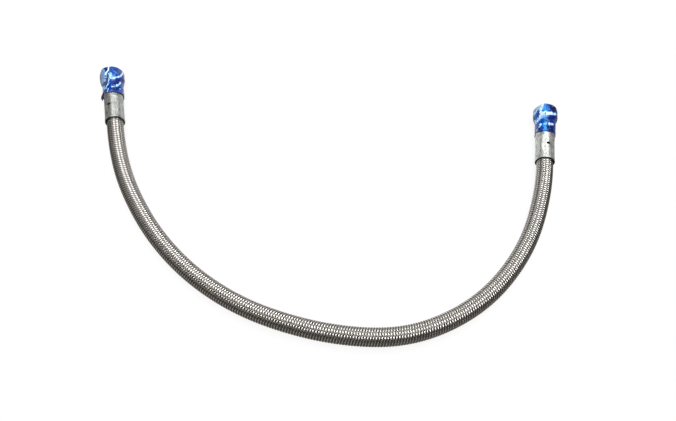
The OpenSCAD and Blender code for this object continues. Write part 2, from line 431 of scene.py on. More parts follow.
def ring_faces(rings, sides, joined, closed=True):
    """Quads between rings of points. joined also ties the last ring to the first."""
    here = np.arange(rings if joined else rings - 1)[:, None] * sides
    there = (here + sides) % (rings * sides)
    j = np.arange(sides if closed else sides - 1)
    k = (j + 1) % sides
    return np.stack([here + j, here + k, there + k, there + j], axis=-1).reshape(-1, 4).tolist()


def tidy(mesh):
    """Merges a mesh's doubles, turns its faces outwards and shades it."""
    work = bmesh.new()
    work.from_mesh(mesh)
    bmesh.ops.remove_doubles(work, verts=work.verts, dist=1e-6)
    bmesh.ops.recalc_face_normals(work, faces=work.faces)
    work.to_mesh(mesh)
    work.free()
    mesh.shade_smooth()
    mesh.set_sharp_from_angle(angle=SHARP_ANGLE)


def mesh_piece(name, points, faces, material, attributes=()):
    """A piece of these points and faces. attributes are (name, a value for each point)."""
    mesh = bpy.data.meshes.new(name)
    mesh.from_pydata(np.asarray(points).reshape(-1, 3).tolist(), [], faces)
    for title, values in attributes:
        layer = mesh.attributes.new(title, "FLOAT", "POINT")
        layer.data.foreach_set("value", np.asarray(values, np.float32).ravel())
    tidy(mesh)
    mesh.materials.append(material)
    return add_object(name, mesh)


def ring_piece(name, rings, material):
    """A piece through closed rings of points, with the last ring tied to the first."""
    return mesh_piece(name, rings, ring_faces(len(rings), len(rings[0]), True), material)


def turned_piece(name, end, sections, sides, material):
    """A piece round an end's axis, through (station, radius). A radius may vary by angle."""
    rings = [end.at(circle(sides), radius, station) for station, radius in sections]
    return ring_piece(name, rings, material)


def plain_mesh(thing):
    """The mesh that an object's modifiers give."""
    evaluated = thing.evaluated_get(bpy.context.evaluated_depsgraph_get())
    return bpy.data.meshes.new_from_object(evaluated)


def applied(piece):
    """The piece, with its modifiers made part of its mesh."""
    mesh = plain_mesh(piece)
    piece.modifiers.clear()
    piece.data = mesh
    tidy(mesh)
    return piece


# ---- Hose ----

LINE_STEP = 2 * MM
LINE_SOFTNESS = 18 * MM


def leg_lengths(points):
    return np.linalg.norm(np.diff(points, axis=0), axis=1)


def distances(points):
    """How far along its line each point is."""
    return np.concatenate([[0], np.cumsum(leg_lengths(points))])


def hose_route():
    """The points that the hose follows, from inside one ferrule to inside the other."""
    left, right = ENDS
    start = [left.at(0, 0, s) for s in (HOSE_INSERT, 0, -STRAIGHT_LEN)]
    end = [right.at(0, 0, s) for s in (-STRAIGHT_LEN, 0, HOSE_INSERT)]
    bow = [(x, y, HOSE_Z + share * (AXIS_Z - HOSE_Z)) for x, y, share in BOW]
    return np.array([*start, *bow, *end])


def spline_through(points):
    """A natural cubic spline through the points, sampled every LINE_STEP."""
    knots = distances(points)
    gaps = np.diff(knots)
    count = len(points)
    system = np.eye(count)
    for i in range(1, count - 1):
        system[i, i - 1:i + 2] = gaps[i - 1], 2 * (gaps[i - 1] + gaps[i]), gaps[i]
    forces = np.zeros_like(points)
    forces[1:-1] = 6 * np.diff(np.diff(points, axis=0) / gaps[:, None], axis=0)
    bends = np.linalg.solve(system, forces)
    at = np.linspace(0, knots[-1], int(knots[-1] / LINE_STEP) + 1)
    span = np.clip(np.searchsorted(knots, at, side="right") - 1, 0, count - 2)
    gap = gaps[span][:, None]
    after = (at - knots[span])[:, None]
    before = gap - after
    return (
        (bends[span] * before**3 + bends[span + 1] * after**3) / (6 * gap)
        + (points[span] / gap - bends[span] * gap / 6) * before
        + (points[span + 1] / gap - bends[span + 1] * gap / 6) * after
    )


def part_of_line(line, start, end):
    """The stretch of a line between two distances along it, in even steps."""
    along = distances(line)
    at = np.linspace(start, end, round((end - start) / LINE_STEP) + 1)
    return np.stack([np.interp(at, along, line[:, i]) for i in range(3)], axis=1)


def spaced(line):
    return part_of_line(line, 0, distances(line)[-1])


def relaxed(line):
    """The line without the small wobbles of its given points, as a springy hose lies."""
    reach = round(3 * LINE_SOFTNESS / LINE_STEP)
    offsets = np.arange(-reach, reach + 1)
    weights = np.exp(-0.5 * (offsets * LINE_STEP / LINE_SOFTNESS) ** 2)
    weights /= weights.sum()

    def blurred(values):
        before = 2 * values[0] - values[reach:0:-1]
        after = 2 * values[-1] - values[-2:-reach - 2:-1]
        padded = np.concatenate([before, values, after])
        return np.stack([np.convolve(padded[:, i], weights, "valid") for i in range(3)], axis=1)

    soft = blurred(line)
    return soft + blurred(line - soft)


def make_liner(line, material):
    """The smooth tube under the braid, with its bore."""
    along = np.gradient(line, axis=0)
    along /= np.linalg.norm(along, axis=1, keepdims=True)
    side = np.cross(along, (0, 0, 1))
    side /= np.linalg.norm(side, axis=1, keepdims=True)
    up = np.cross(side, along)
    angles = circle(LINER_SIDES)[:, None, None]
    ring = np.cos(angles) * side + np.sin(angles) * up
    outside = (line + LINER_R * ring).transpose(1, 0, 2)
    inside = (line + LINER_BORE_R * ring).transpose(1, 0, 2)[::-1]
    return ring_piece("hose_liner", np.concatenate([outside, inside]), material)


def line_curve(line):
    """A curve object along the line, for the braid's node tree to sample."""
    data = bpy.data.curves.new("braid_line", "CURVE")
    data.dimensions = "3D"
    spline = data.splines.new("POLY")
    spline.points.add(len(line) - 1)
    spline.points.foreach_set("co", np.c_[line, np.ones(len(line))].astype(np.float32).ravel())
    return add_object("braid_line", data)


def make_braid_tree(material):
    """Winds bands of wire round a curve, each over one crossing band and under the next."""
    tree, nodes, given, result = node_group("Wire braid", "GeometryNodeTree", {
        "Line": None, "Strands Each Way": STRANDS_EACH_WAY, "First Strand": 0, "Strand Count": 1,
        "Hand": 1.0, "Lead": BRAID_LEAD, "Middle Radius": HOSE_R, "Lift": BRAID_LIFT,
        "Strand Width": STRAND_W, "Wires": WIRES_PER_STRAND, "Wire Height": WIRE_HEIGHT,
        "Strand Dome": STRAND_DOME, "Rings": 100, "Tuck": BRAID_TUCK, "Crown Share": 1.0,
        "Ring Lean": RING_LEAN, "Seed": 7,
    }, {"Braid": None})
    times, plus, minus, over = nodes.times, nodes.plus, nodes.minus, nodes.over
    calc, vector = nodes.math, nodes.vector
    hand, lead, count = given["Hand"], given["Lead"], given["Strands Each Way"]

    def add(kind, inputs=None, **settings):
        return nodes.add(f"GeometryNode{kind}", inputs, **settings)

    # One band as a flat closed sleeve: crests and valleys of its wires on top, one face underneath
    around = plus(times(given["Wires"], 2), 1)
    band = add("MeshCylinder", {
        "Vertices": around, "Side Segments": minus(given["Rings"], 1), "Radius": 1.0, "Depth": 1.0,
    }, fill_type="NGON").outputs
    captured = add("CaptureAttribute", {"Geometry": band["Mesh"]})
    captured.capture_items.new("FLOAT", "Column")
    captured.capture_items.new("FLOAT", "Share")
    shape = nodes.add("ShaderNodeSeparateXYZ", {"Vector": add("InputPosition")}).outputs
    turn = over(calc("ARCTAN2", shape["Y"], shape["X"]), math.tau)
    number = calc("ROUND", times(plus(turn, 1.0), around))
    nodes.fill(captured, {
        "Column": calc("FLOORED_MODULO", number, around), "Share": plus(shape["Z"], 0.5),
    })
    column = captured.outputs["Column"]
    on_crest = calc("FLOORED_MODULO", column, 2.0)
    flat_ends = add("SetShadeSmooth", {
        "Geometry": captured.outputs["Geometry"], "Selection": band["Side"], "Shade Smooth": True,
    })
    creased = add("SetShadeSmooth", {
        "Geometry": flat_ends, "Selection": calc("LESS_THAN", on_crest, 0.1), "Shade Smooth": False,
    }, domain="EDGE")

    # One copy of the band for each strand
    points = add("Points", {"Count": given["Strand Count"]})
    copies = add("InstanceOnPoints", {"Points": points, "Instance": creased})
    numbered = add("CaptureAttribute", {"Geometry": copies}, domain="INSTANCE")
    numbered.capture_items.new("FLOAT", "Strand")
    nodes.fill(numbered, {"Strand": plus(add("InputIndex"), given["First Strand"])})
    whole = add("RealizeInstances", {"Geometry": numbered.outputs["Geometry"]})
    strand = numbered.outputs["Strand"]

    # Where each point lies: along the line, around it, and over or under the other bands
    circumference = times(given["Middle Radius"], math.tau)
    slant = calc("ARCTANGENT", over(1.0, over(lead, circumference)))
    share_across = minus(over(column, times(given["Wires"], 2)), 0.5)
    from_middle = times(share_across, share_across)
    across = times(share_across, given["Strand Width"])
    length = add("CurveLength", {"Curve": given["Line"]})
    middle_station = times(captured.outputs["Share"], length)
    station = minus(middle_station, times(times(hand, calc("SINE", slant)), across))
    turns = plus(
        plus(over(strand, count), times(hand, over(middle_station, lead))),
        over(times(calc("COSINE", slant), across), circumference),
    )
    crossing = times(count, plus(turns, times(hand, over(station, lead))))
    wave = calc("COSINE", times(plus(strand, crossing), math.pi))
    flattened = times(wave, minus(1.25, times(0.25, times(wave, wave))))
    crest = times(on_crest, given["Wire Height"])
    edge_drop = times(from_middle, times(given["Strand Dome"], 4.0))
    lift = times(times(given["Lift"], hand), flattened)
    radius = plus(given["Middle Radius"], plus(lift, minus(crest, edge_drop)))

    angle = times(turns, math.tau)
    to_end = calc("MINIMUM", middle_station, minus(length, middle_station))
    free = nodes.add("ShaderNodeMapRange", {"Value": to_end, "From Max": RING_LEAN_FADE})
    leaning = calc("SINE", minus(angle, RING_LEAN_FROM))
    leaned = plus(station, times(times(given["Ring Lean"], free), leaning))
    sample = add("SampleCurve", {"Curves": given["Line"], "Length": leaned}, mode="LENGTH").outputs
    side = vector("NORMALIZE", vector("CROSS_PRODUCT", sample["Tangent"], (0, 0, 1)))
    up = vector("CROSS_PRODUCT", side, sample["Tangent"])
    sideways = vector("MULTIPLY", side, calc("COSINE", angle))
    outwards = vector("ADD", sideways, vector("MULTIPLY", up, calc("SINE", angle)))
    place = vector("ADD", sample["Position"], vector("MULTIPLY", outwards, radius))
    wound = add("SetPosition", {"Geometry": whole, "Position": place})

    # Painted light on each point, from its place in the weave: painted highlights on wire crests,
    # where the strand lies on top and along the weave's rings, and painted shade at the strand's
    # edges.
    # And a tone for each strand
    on_wire = times(0.15, on_crest)
    on_top = times(0.25, times(flattened, hand))
    on_ring = times(0.45, calc("COSINE", times(over(station, over(lead, count)), math.tau)))
    at_edge = times(from_middle, 0.6)
    # This height is painted light, not a shape: the sum of the painted highlights
    height = plus(0.12, plus(plus(on_wire, on_top), on_ring))
    # Painted shadow: the braid is painted dark inside the ferrule and lightens over 2 mm past its
    # mouth
    mouth_shadow_fade = nodes.add("ShaderNodeMapRange", {
        "Value": to_end, "From Min": given["Tuck"], "From Max": plus(given["Tuck"], 2 * MM),
    })
    # The painted light, less the painted shade at the edges, dimmed by the painted shadow at the
    # mouth and scaled for each hand
    crown = times(times(minus(height, at_edge), mouth_shadow_fade), given["Crown Share"])
    drawn = {"ID": strand, "Seed": given["Seed"]}
    tone = nodes.add("FunctionNodeRandomValue", drawn, data_type="FLOAT").outputs["Value"]
    for title, value in (("crown", crown), ("strand_tone", tone)):
        stored = {"Geometry": wound, "Name": title, "Value": value}
        wound = add("StoreNamedAttribute", stored, data_type="FLOAT", domain="POINT")
    nodes.put(result["Braid"], add("SetMaterial", {"Geometry": wound, "Material": material}))
    return tree


def set_inputs(modifier, values):
    """Sets a modifier's inputs by the identifiers of the sockets with these names."""
    for item in modifier.node_group.interface.items_tree:
        if item.item_type == "SOCKET" and item.in_out == "INPUT" and item.name in values:
            modifier[item.identifier] = values[item.name]


def make_braid(line, material):
    """The braid as four pieces for each hand, so that each stays a moderate size."""
    tree = make_braid_tree(material)
    rings = round(distances(line)[-1] / (BRAID_PITCH / RINGS_PER_PITCH)) + 1
    pieces = []
    for hand_name, hand, painted_light_share, seed in BRAID_HANDS:
        for number, first in enumerate(range(0, STRANDS_EACH_WAY, STRANDS_PER_PIECE), 1):
            curve = line_curve(line)
            modifier = curve.modifiers.new("braid", "NODES")
            modifier.node_group = tree
            set_inputs(modifier, {
                "Hand": hand, "First Strand": first, "Strand Count": STRANDS_PER_PIECE,
                "Middle Radius": HOSE_R - BRAID_LIFT - WIRE_HEIGHT, "Rings": rings,
                "Crown Share": painted_light_share, "Seed": seed,
            })
            bpy.context.view_layer.update()
            pieces.append(add_object(f"braid_{hand_name}_{number}", plain_mesh(curve)))
            bpy.data.objects.remove(curve)
    return pieces


# ---- Ferrule ----


def jaw_radius(angle, station):
    """The ferrule's outside: jaw flats, soft ridges between them, and a round tube past them."""
    pitch = math.tau / JAWS
    from_flat = np.abs(angle % pitch - pitch / 2)
    pressed = soft_least(FLAT_R / np.cos(from_flat), RIDGE_R, RIDGE_ROUND)
    inside = smooth_step((station - JAW_START) / JAW_RUN_OUT)
    inside *= smooth_step((JAW_END - station) / JAW_RUN_OUT)
    return RIDGE_R + inside * (pressed - RIDGE_R)


def ferrule_sections():
    """The ferrule's wall once round its section, as (station, radius)."""
    angles = circle(TURNED_SIDES)
    lip = [
        (0.0, MOUTH_R), (0.0, LIP_R - 0.35 * MM), (0.12 * MM, LIP_R - 0.12 * MM),
        (0.5 * MM, LIP_R), (1.0 * MM, LIP_R), (LIP_W - 0.5 * MM, LIP_R - 0.05 * MM),
    ]
    stations = np.arange(LIP_W + 0.3 * MM, FERRULE_LEN - 1.2 * MM, 0.5 * MM)
    body = [(station, jaw_radius(angles, station)) for station in stations]
    front = 0.7 * MM
    nose = [
        (FERRULE_LEN - front * (1 - math.sin(a)), RIDGE_R - front * (1 - math.cos(a)))
        for a in np.radians([0, 30, 60, 90])
    ]
    neck = FERRULE_LEN - FERRULE_NECK
    inner = [
        (FERRULE_LEN, NECK_BORE_R), (neck, NECK_BORE_R), (neck, FERRULE_BORE_R),
        (20 * MM, FERRULE_BORE_R), (FLARE_LEN, FERRULE_BORE_R),
        (FLARE_LEN / 2, (FERRULE_BORE_R + MOUTH_R) / 2 - 0.1 * MM),
    ]
    return lip + body + nose + inner


def wrap_map(piece, end):
    """A UV map on a turned piece: share of a turn around it, and station in centimetres."""
    mesh = piece.data
    local = np.array([vertex.co for vertex in mesh.vertices]) - end.mouth
    turn = np.arctan2(local @ end.side, local @ end.up) / math.tau
    station = local @ end.axis / (10 * MM)
    corners = [loop.vertex_index for loop in mesh.loops]
    uv = np.c_[turn, station][corners].astype(np.float32)
    mesh.uv_layers.new(name="wrap").data.foreach_set("uv", uv.ravel())


def cut_hole(piece, end, angle, radius, station, inner, outer):
    """Cuts a round hole across a wall, from the inner to the outer radius."""
    bar = bmesh.new()
    out = math.cos(angle) * end.up + math.sin(angle) * end.side
    middle = end.mouth + station * end.axis + (inner + outer) / 2 * out
    turn = Vector(out).to_track_quat("Z", "Y").to_matrix().to_4x4()
    bmesh.ops.create_cone(
        bar, cap_ends=True, segments=32, radius1=radius, radius2=radius, depth=outer - inner,
        matrix=Matrix.Translation(middle) @ turn,
    )
    mesh = bpy.data.meshes.new("cutter")
    bar.to_mesh(mesh)
    bar.free()
    cutter = add_object("cutter", mesh)
    modifier = piece.modifiers.new("hole", "BOOLEAN")
    modifier.operation = "DIFFERENCE"
    modifier.solver = "EXACT"
    modifier.object = cutter
    applied(piece)
    bpy.data.objects.remove(cutter)


def darken_inside(piece, end, material):
    """Gives the bore, the mouth's rim and the sight hole's wall a dark material of their own, as
    painted shade.
    """
    piece.data.materials.append(material)
    for face in piece.data.polygons:
        local = np.array(face.center) - end.mouth
        station = local @ end.axis
        radius = np.linalg.norm(local - station * end.axis)
        if radius < FLAT_R - 0.1 * MM or (station < LIP_W and radius < RIM_R):
            face.material_index = 1


def make_ferrule(end, material, inside):
    name = f"crimped_ferrule_{end.name}"
    piece = turned_piece(name, end, ferrule_sections(), TURNED_SIDES, material)
    turn = SIGHT_TURN[end.name]
    cut_hole(piece, end, turn, SIGHT_R, SIGHT_POS, FERRULE_BORE_R - MM, LIP_R + MM)
    darken_inside(piece, end, inside)
    wrap_map(piece, end)
    return piece


def make_hose_tail(end, material):
    """The hose's end inside the ferrule, which shows through the sight hole."""
    sections = [
        (BRAID_TUCK, LINER_BORE_R), (BRAID_TUCK, TAIL_R),
        (HOSE_INSERT, TAIL_R), (HOSE_INSERT, LINER_BORE_R),
    ]
    return turned_piece(f"hose_tail_{end.name}", end, sections, TAIL_SIDES, material)


# ---- Swivel nut ----


def hex_radius(angle, flat, corner, width):
    """A hexagon with flats up and down and rounded corners."""
    sixth = math.tau / 6
    from_flat = (angle + sixth / 2) % sixth - sixth / 2
    return soft_least(flat / np.cos(from_flat), corner, width)


def make_nut(end, material):
    angles = circle(TURNED_SIDES)
    hexagon = hex_radius(angles, HEX_FLAT_R, HEX_CORNER_R, HEX_ROUND)
    sections = [
        (NUT_START, NUT_BORE_R), (NUT_START, COLLAR_R - 0.6 * MM),
        (NUT_START + 0.2 * MM, COLLAR_R - 0.2 * MM), (NUT_START + 0.6 * MM, COLLAR_R),
    ]
    for station in np.linspace(NUT_START + 1.5 * MM, HEX_START - 0.4 * MM, 10):
        sections.append((station, COLLAR_R))
    for station in np.linspace(HEX_START, NUT_END, 40):
        inwards = min(station - HEX_START, NUT_END - station) / HEX_CHAMFER
        chamfered = soft_least(hexagon, HEX_FLAT_R - 0.1 * MM + inwards, 0.15 * MM)
        sections.append((station, chamfered))
    sections.append((NUT_END, THREAD_CREST_R + PORT_CHAMFER))
    for station in np.arange(NUT_END - PORT_CHAMFER, THREAD_START, -THREAD_PITCH / 8):
        wave = (station / THREAD_PITCH - angles / math.tau) % 1
        groove = np.clip(2.4 * np.abs(wave - 0.5) - 0.1, 0, 1)
        fade = smooth_step((station - THREAD_START) / THREAD_PITCH)
        depth = (THREAD_ROOT_R - THREAD_CREST_R) * fade * (1 - groove)
        sections.append((station, THREAD_CREST_R + depth))
    sections += [
        (THREAD_START, THREAD_CREST_R), (THREAD_START, NUT_BORE_R),
        ((THREAD_START + NUT_START) / 2, NUT_BORE_R),
    ]
    piece = turned_piece(f"hex_nut_{end.name}", end, sections, TURNED_SIDES, material)
    cut_hole(piece, end, 0, WIRE_HOLE_R, WIRE_POS, NUT_BORE_R - MM, COLLAR_R + MM)
    wrap_map(piece, end)
    return piece


# ---- Film cover ----

FILM_WALL = 0.12 * MM
FILM_NECK_R = 9.55 * MM
FILM_FLAT_R = 11.35 * MM
FILM_CORNER_R = 11.8 * MM
FILM_CORNER_ROUND = 0.9 * MM
# The least gap between the film's wall and the nut
FILM_GAP = 0.06 * MM
# The length over which the film widens from the neck to the hexagon
FILM_TAPER = {"left": 8 * MM, "right": 6 * MM}
# How far the film stands off the ferrule on its right-hand side
FILM_NECK_STAND = {"left": 0.5 * MM, "right": 0.1 * MM}
# How far the film's end stands off the port, and how it rounds over to its side
FILM_BULGE = {"left": 0.8 * MM, "right": 3.2 * MM}
FILM_ROUND = {"left": 4 * MM, "right": 6.5 * MM}
FILM_ROUND_DROP = {"left": 2 * MM, "right": 4.2 * MM}
FILM_SIDES = 240
FILM_ROWS = 120
FILM_CAP_ROWS = 34
# The radius at which the film is laid flat to draw its folds
FILM_LAY_R = 11 * MM
FILM_EDGE = 31.8 * MM
# Where the film's edge hangs down or, below 0, is drawn back: angle, how far, and half width
FILM_HANGS = {
    "left": [(-71, -6.4 * MM, 33), (100, -2.4 * MM, 38), (190, 3 * MM, 30)],
    "right": [(-94, -2.9 * MM, 42), (66, -3.0 * MM, 30), (165, 3 * MM, 26)],
}
# How high the pleats, the creases and the edges of the wound strip stand
PLEAT_RISE = 0.16 * MM
CREASE_RISE = 0.08 * MM
WRAP_RISE = 0.16 * MM
# Wraps of the film strip: how many edges run side by side, and which way they climb
WRAP_PITCH = 6.6 * MM
WRAP_STARTS = {"left": -5, "right": 6}
# Folds: layers of film (0 pale, 1 darkest), how clear it is, half width and rise, and the path by
# angle and station. Lengths are in millimetres and angles in degrees. The layers also hold painted
# light: pale folds on raised creases are partly painted highlights, and on the right film the pale
# band near -18 degrees is a painted highlight and the dark band near 17 degrees painted shade.
FOLDS_LEFT = [
    (0.52, 0, 6, 0, (20, 66), (30, 60), (40, 52), (30, 44), (25, 36)),
    (0.66, 0, 4.5, 0, (74, 58), (78, 46), (76, 34)),
    (0.12, 0.8, 6, 0, (-70, 66), (-60, 54), (-62, 42)),
    (0.2, 0.6, 2.2, 0.1, (-30, 64), (-28, 58), (-24, 52)),
    (0.86, 0.35, 2.6, 0, (-50, 47), (-30, 47), (-14, 51), (-6, 54)),
    (0.14, 0.3, 1.4, 0.3, (-62, 51), (-45, 51.5), (-30, 50)),
    (0.16, 0.35, 1.7, 0.2, (-62, 45), (-45, 41), (-24, 39)),
    (0.74, 0.25, 2, 0, (-46, 35), (-28, 33.5), (-12, 33)),
    (0.55, 0.1, 2.8, 0.1, (12, 65), (20, 61)),
    (0.66, 0.1, 2.6, 0, (38, 60), (52, 62), (64, 64)),
    (0.34, 0, 1.3, 0, (26, 59), (33, 57)),
    (0.02, 0, 0.9, 0.5, (2, 66), (-1, 62), (-8, 59), (-15, 56), (-20, 53)),
    (0.1, 0, 1.7, 0.4, (4, 56), (8, 52), (20, 50.5), (34, 50.5)),
    (0.03, 0, 1, 0.55, (30, 50.5), (46, 53), (60, 57), (72, 61), (80, 66)),
    (0.06, 0.1, 0.9, 0.5, (-3, 51), (-8, 46), (-14, 43), (-20, 41.5)),
    (0.08, 0.1, 0.7, 0.4, (-12, 37), (-17, 33.5)),
    (0.6, 0, 3, 0.1, (12, 46), (30, 46), (50, 49)),
    (0.8, 0, 1.6, 0, (24, 44), (40, 46), (54, 50)),
    (0.07, 0, 0.8, 0.5, (10, 39), (18, 38.3), (28, 40), (38, 41)),
    (0.04, 0, 0.8, 0.5, (36, 42.5), (46, 42), (54, 45), (62, 48.5)),
    (0.82, 0, 1.7, 0, (14, 35.5), (34, 35.5), (48, 38), (60, 41)),
    (0.14, 0, 0.8, 0.3, (50, 36.5), (55, 38)),
]
FOLDS_RIGHT = [
    (0.33, 0, 3.4, 0.1, (-16, 67), (-18, 56), (-20, 46), (-18, 33)),
    (0.8, 0, 4.8, 0, (14, 66), (18, 58), (20, 50), (16, 40), (14, 33)),
    (0.1, 0.5, 6, 0, (-84, 66), (-70, 62), (-56, 64)),
    (0.12, 0.3, 3, 0.2, (-92, 50), (-70, 48.5), (-48, 51)),
    (0.5, 0.1, 3, 0, (-76, 56), (-64, 56.5), (-52, 56)),
    (0.72, 0, 2.2, 0, (-56, 58), (-50, 56), (-52, 54)),
    (0.54, 0, 3, 0.1, (-96, 45), (-74, 43), (-50, 44), (-34, 46)),
    (0.4, 0, 2, 0, (-12, 64), (-4, 60)),
    (0.9, 0, 2.2, 0.1, (14, 64), (20, 59)),
    (0.03, 0, 1.2, 0.5, (-30, 67), (-40, 62), (-42, 57), (-44, 53), (-54, 50), (-66, 48)),
    (0.05, 0.2, 0.6, 0.35, (-52, 67), (-62, 62), (-78, 58)),
    (0.06, 0, 1.7, 0.3, (-38, 54.5), (-28, 54), (-18, 55), (-12, 54)),
    (0.02, 0, 1.9, 0.4, (-8, 54), (6, 55), (16, 55), (30, 55.5)),
    (0.62, 0, 2.6, 0, (-6, 46), (4, 48), (18, 49), (28, 51.5)),
    (0.8, 0, 1.3, 0, (8, 49.5), (22, 50.5), (34, 52.5)),
    (0.02, 0, 1.8, 0.4, (4, 42), (12, 42), (26, 43)),
    (0.06, 0, 1, 0.4, (-48, 42), (-44, 41)),
    (0.08, 0.1, 0.9, 0.4, (-74, 36), (-60, 38), (-46, 40)),
    (0.16, 0, 0.9, 0.3, (-30, 41.5), (-20, 41), (-12, 42), (-10, 44)),
    (0.8, 0, 0.8, 0, (0, 38), (12, 39), (28, 40.5)),
    (0.7, 0.1, 1.6, 0, (-64, 34), (-48, 35), (-34, 36)),
    (0.2, 0, 0.6, 0.3, (4, 35.5), (9, 36.2)),
]
FOLDS = {"left": FOLDS_LEFT, "right": FOLDS_RIGHT}
# Folds of the hidden side: how many, their seed, and the angle in degrees that they lie about
HIDDEN_FOLDS = 26
HIDDEN_SEED = {"left": 5, "right": 8}
HIDDEN_SIDE = {"left": 190, "right": 155}


def distance_to_path(spots, path):
    """How far each spot of the flat film is from a path of straight legs."""
    nearest = np.full(spots.shape[:-1], np.inf)
    for start, end in zip(path, path[1:]):
        leg = end - start
        share = np.clip((spots - start) @ leg / (leg @ leg), 0, 1)
        away = np.linalg.norm(spots - start - share[..., None] * leg, axis=-1)
        nearest = np.minimum(nearest, away)
    return nearest


def hidden_folds(name):
    """Folds for the side that faces the surface and the bow's inside, drawn at random."""
    chance = np.random.default_rng(HIDDEN_SEED[name])
    folds = []
    for _ in range(HIDDEN_FOLDS):
        angle = HIDDEN_SIDE[name] + chance.uniform(-85, 85)
        station = chance.uniform(33, 65)
        climb = chance.uniform(-0.35, 0.35)
        reach = chance.uniform(8, 26)
        path = [
            (angle + t * reach, station + t * reach * climb + chance.uniform(-0.8, 0.8))
            for t in (-1, -0.4, 0.3, 1)
        ]
        pale = chance.uniform() < 0.5
        layers_and_light = chance.uniform(0.02, 0.16) if pale else chance.uniform(0.45, 0.85)
        half_width = chance.uniform(0.6, 1.4) if pale else chance.uniform(1.5, 3)
        folds.append((layers_and_light, 0.0, half_width, 0.45 if pale else 0.0, *path))
    return folds


def noise_at(points, size):
    """Smooth noise of about this grain at each point, from about -1 to 1."""
    flat = (np.asarray(points) / size).reshape(-1, 3)
    values = [noise.noise(Vector(point)) for point in flat]
    return np.array(values).reshape(np.shape(points)[:-1])


def film_edge(name, degrees):
    """Where the film's open edge lies at each angle."""
    edge = np.full(np.shape(degrees), FILM_EDGE)
    for angle, depth, width in FILM_HANGS[name]:
        off = (degrees - angle + 180) % 360 - 180
        edge -= depth * np.exp(-(off / width) ** 2)
    return edge


def smooth_film(name, angles, station):
    """The film's radius before its folds: round the ferrule, then over the nut and its edge."""
    taper = FILM_TAPER[name]
    widened = smooth_step((station - (HEX_START - taper)) / taper)
    hexagon = hex_radius(angles, FILM_FLAT_R, FILM_CORNER_R, FILM_CORNER_ROUND)
    neck = FILM_NECK_R + FILM_NECK_STAND[name] * np.clip(np.sin(angles), 0, 1)
    radius = neck + widened * (hexagon - neck)
    rounding = (station - (FILM_END + FILM_BULGE[name])) / FILM_ROUND[name] + 1
    radius -= FILM_ROUND_DROP[name] * (1 - np.sqrt(1 - np.clip(rounding, 0, 1) ** 2))
    chamfered = (NUT_END - station) / HEX_CHAMFER + HEX_FLAT_R
    nut = np.minimum(hex_radius(angles, HEX_FLAT_R, HEX_CORNER_R, HEX_ROUND), chamfered)
    on_nut = (station > HEX_START) & (station < NUT_END)
    return np.where(on_nut, np.maximum(radius, nut + FILM_WALL + FILM_GAP), radius)


def film_surface(end):
    """The film's outside, by row and angle: its stations, radii, layers with their painted light,
    and clearness.
    """
    name = end.name
    angles = circle(FILM_SIDES)
    degrees = (np.degrees(angles) + 180) % 360 - 180
    around = np.c_[np.cos(angles), np.sin(angles), np.zeros(FILM_SIDES)] * FILM_LAY_R
    edge = film_edge(name, degrees) + 0.5 * MM * noise_at(around, 4 * MM)
    share = np.linspace(0, 1, FILM_ROWS)[:, None]
    station = edge + (FILM_END + FILM_BULGE[name] - edge) * share
    radius = smooth_film(name, angles, station)

    on_film = np.broadcast_to(around, (FILM_ROWS, FILM_SIDES, 3)).copy()
    on_film[..., 2] = station * 0.45
    pleats = 1 - 2 * np.abs(noise_at(on_film, 3.2 * MM))
    creases = 1 - 2 * np.abs(noise_at(on_film * (1, 1, 2.6) + 0.3, 1.5 * MM))
    rise = PLEAT_RISE * np.clip(pleats, 0, 1) + CREASE_RISE * np.clip(creases, 0, 1)

    climb = WRAP_STARTS[name] * WRAP_PITCH * angles / math.tau
    wrap = ((station + climb + 1.2 * MM * noise_at(on_film + 0.7, 6 * MM)) / WRAP_PITCH) % 1
    rise += WRAP_RISE * np.minimum(1 - wrap, wrap / 0.08)
    layers_and_light = 0.75 + 0.34 * (0.5 - wrap) + 0.5 * noise_at(on_film + 0.9, 3 * MM)
    clear = np.zeros_like(layers_and_light)

    wobble = 0.7 * MM * noise_at(on_film + 0.5, 1.8 * MM)
    patches = np.clip(1.15 + 1.3 * noise_at(on_film + 1.3, 1.2 * MM), 0, 1)
    sheets = []
    for turn in (-1, 0, 1):
        across = np.broadcast_to(np.radians(degrees) + turn * math.tau, station.shape)
        sheets.append(np.stack([across * FILM_LAY_R, station], axis=-1))
    for depth, clearness, half_width, height, *path in FOLDS[name] + hidden_folds(name):
        path = np.array(path, float)
        flat_path = np.c_[np.radians(path[:, 0]) * FILM_LAY_R, path[:, 1] * MM]
        distance = np.min([distance_to_path(spots, flat_path) for spots in sheets], axis=0)
        soft = 0.5 * MM + 0.3 * half_width * MM
        nearness = 1 - (distance + wobble - half_width * MM + soft / 2) / soft
        weight = smooth_step(nearness) * patches
        # Each fold paints its layers, with their painted highlights and painted shade
        layers_and_light += weight * (depth - layers_and_light)
        clear += weight * (clearness - clear)
        rise += height * MM * weight * 0.5
    return angles, station, radius + rise, layers_and_light, clear


def film_sheet(name, rings, closed, layers_and_light, clear, material):
    """A thin skin of film through rings of points, with its wall on the inside."""
    faces = ring_faces(len(rings), len(rings[0]), False, closed)
    shades = [("film_layers", layers_and_light), ("film_clear", clear)]
    piece = mesh_piece(name, rings, faces, material, shades)
    wall = piece.modifiers.new("wall", "SOLIDIFY")
    wall.thickness = FILM_WALL
    wall.offset = -1
    return applied(piece)


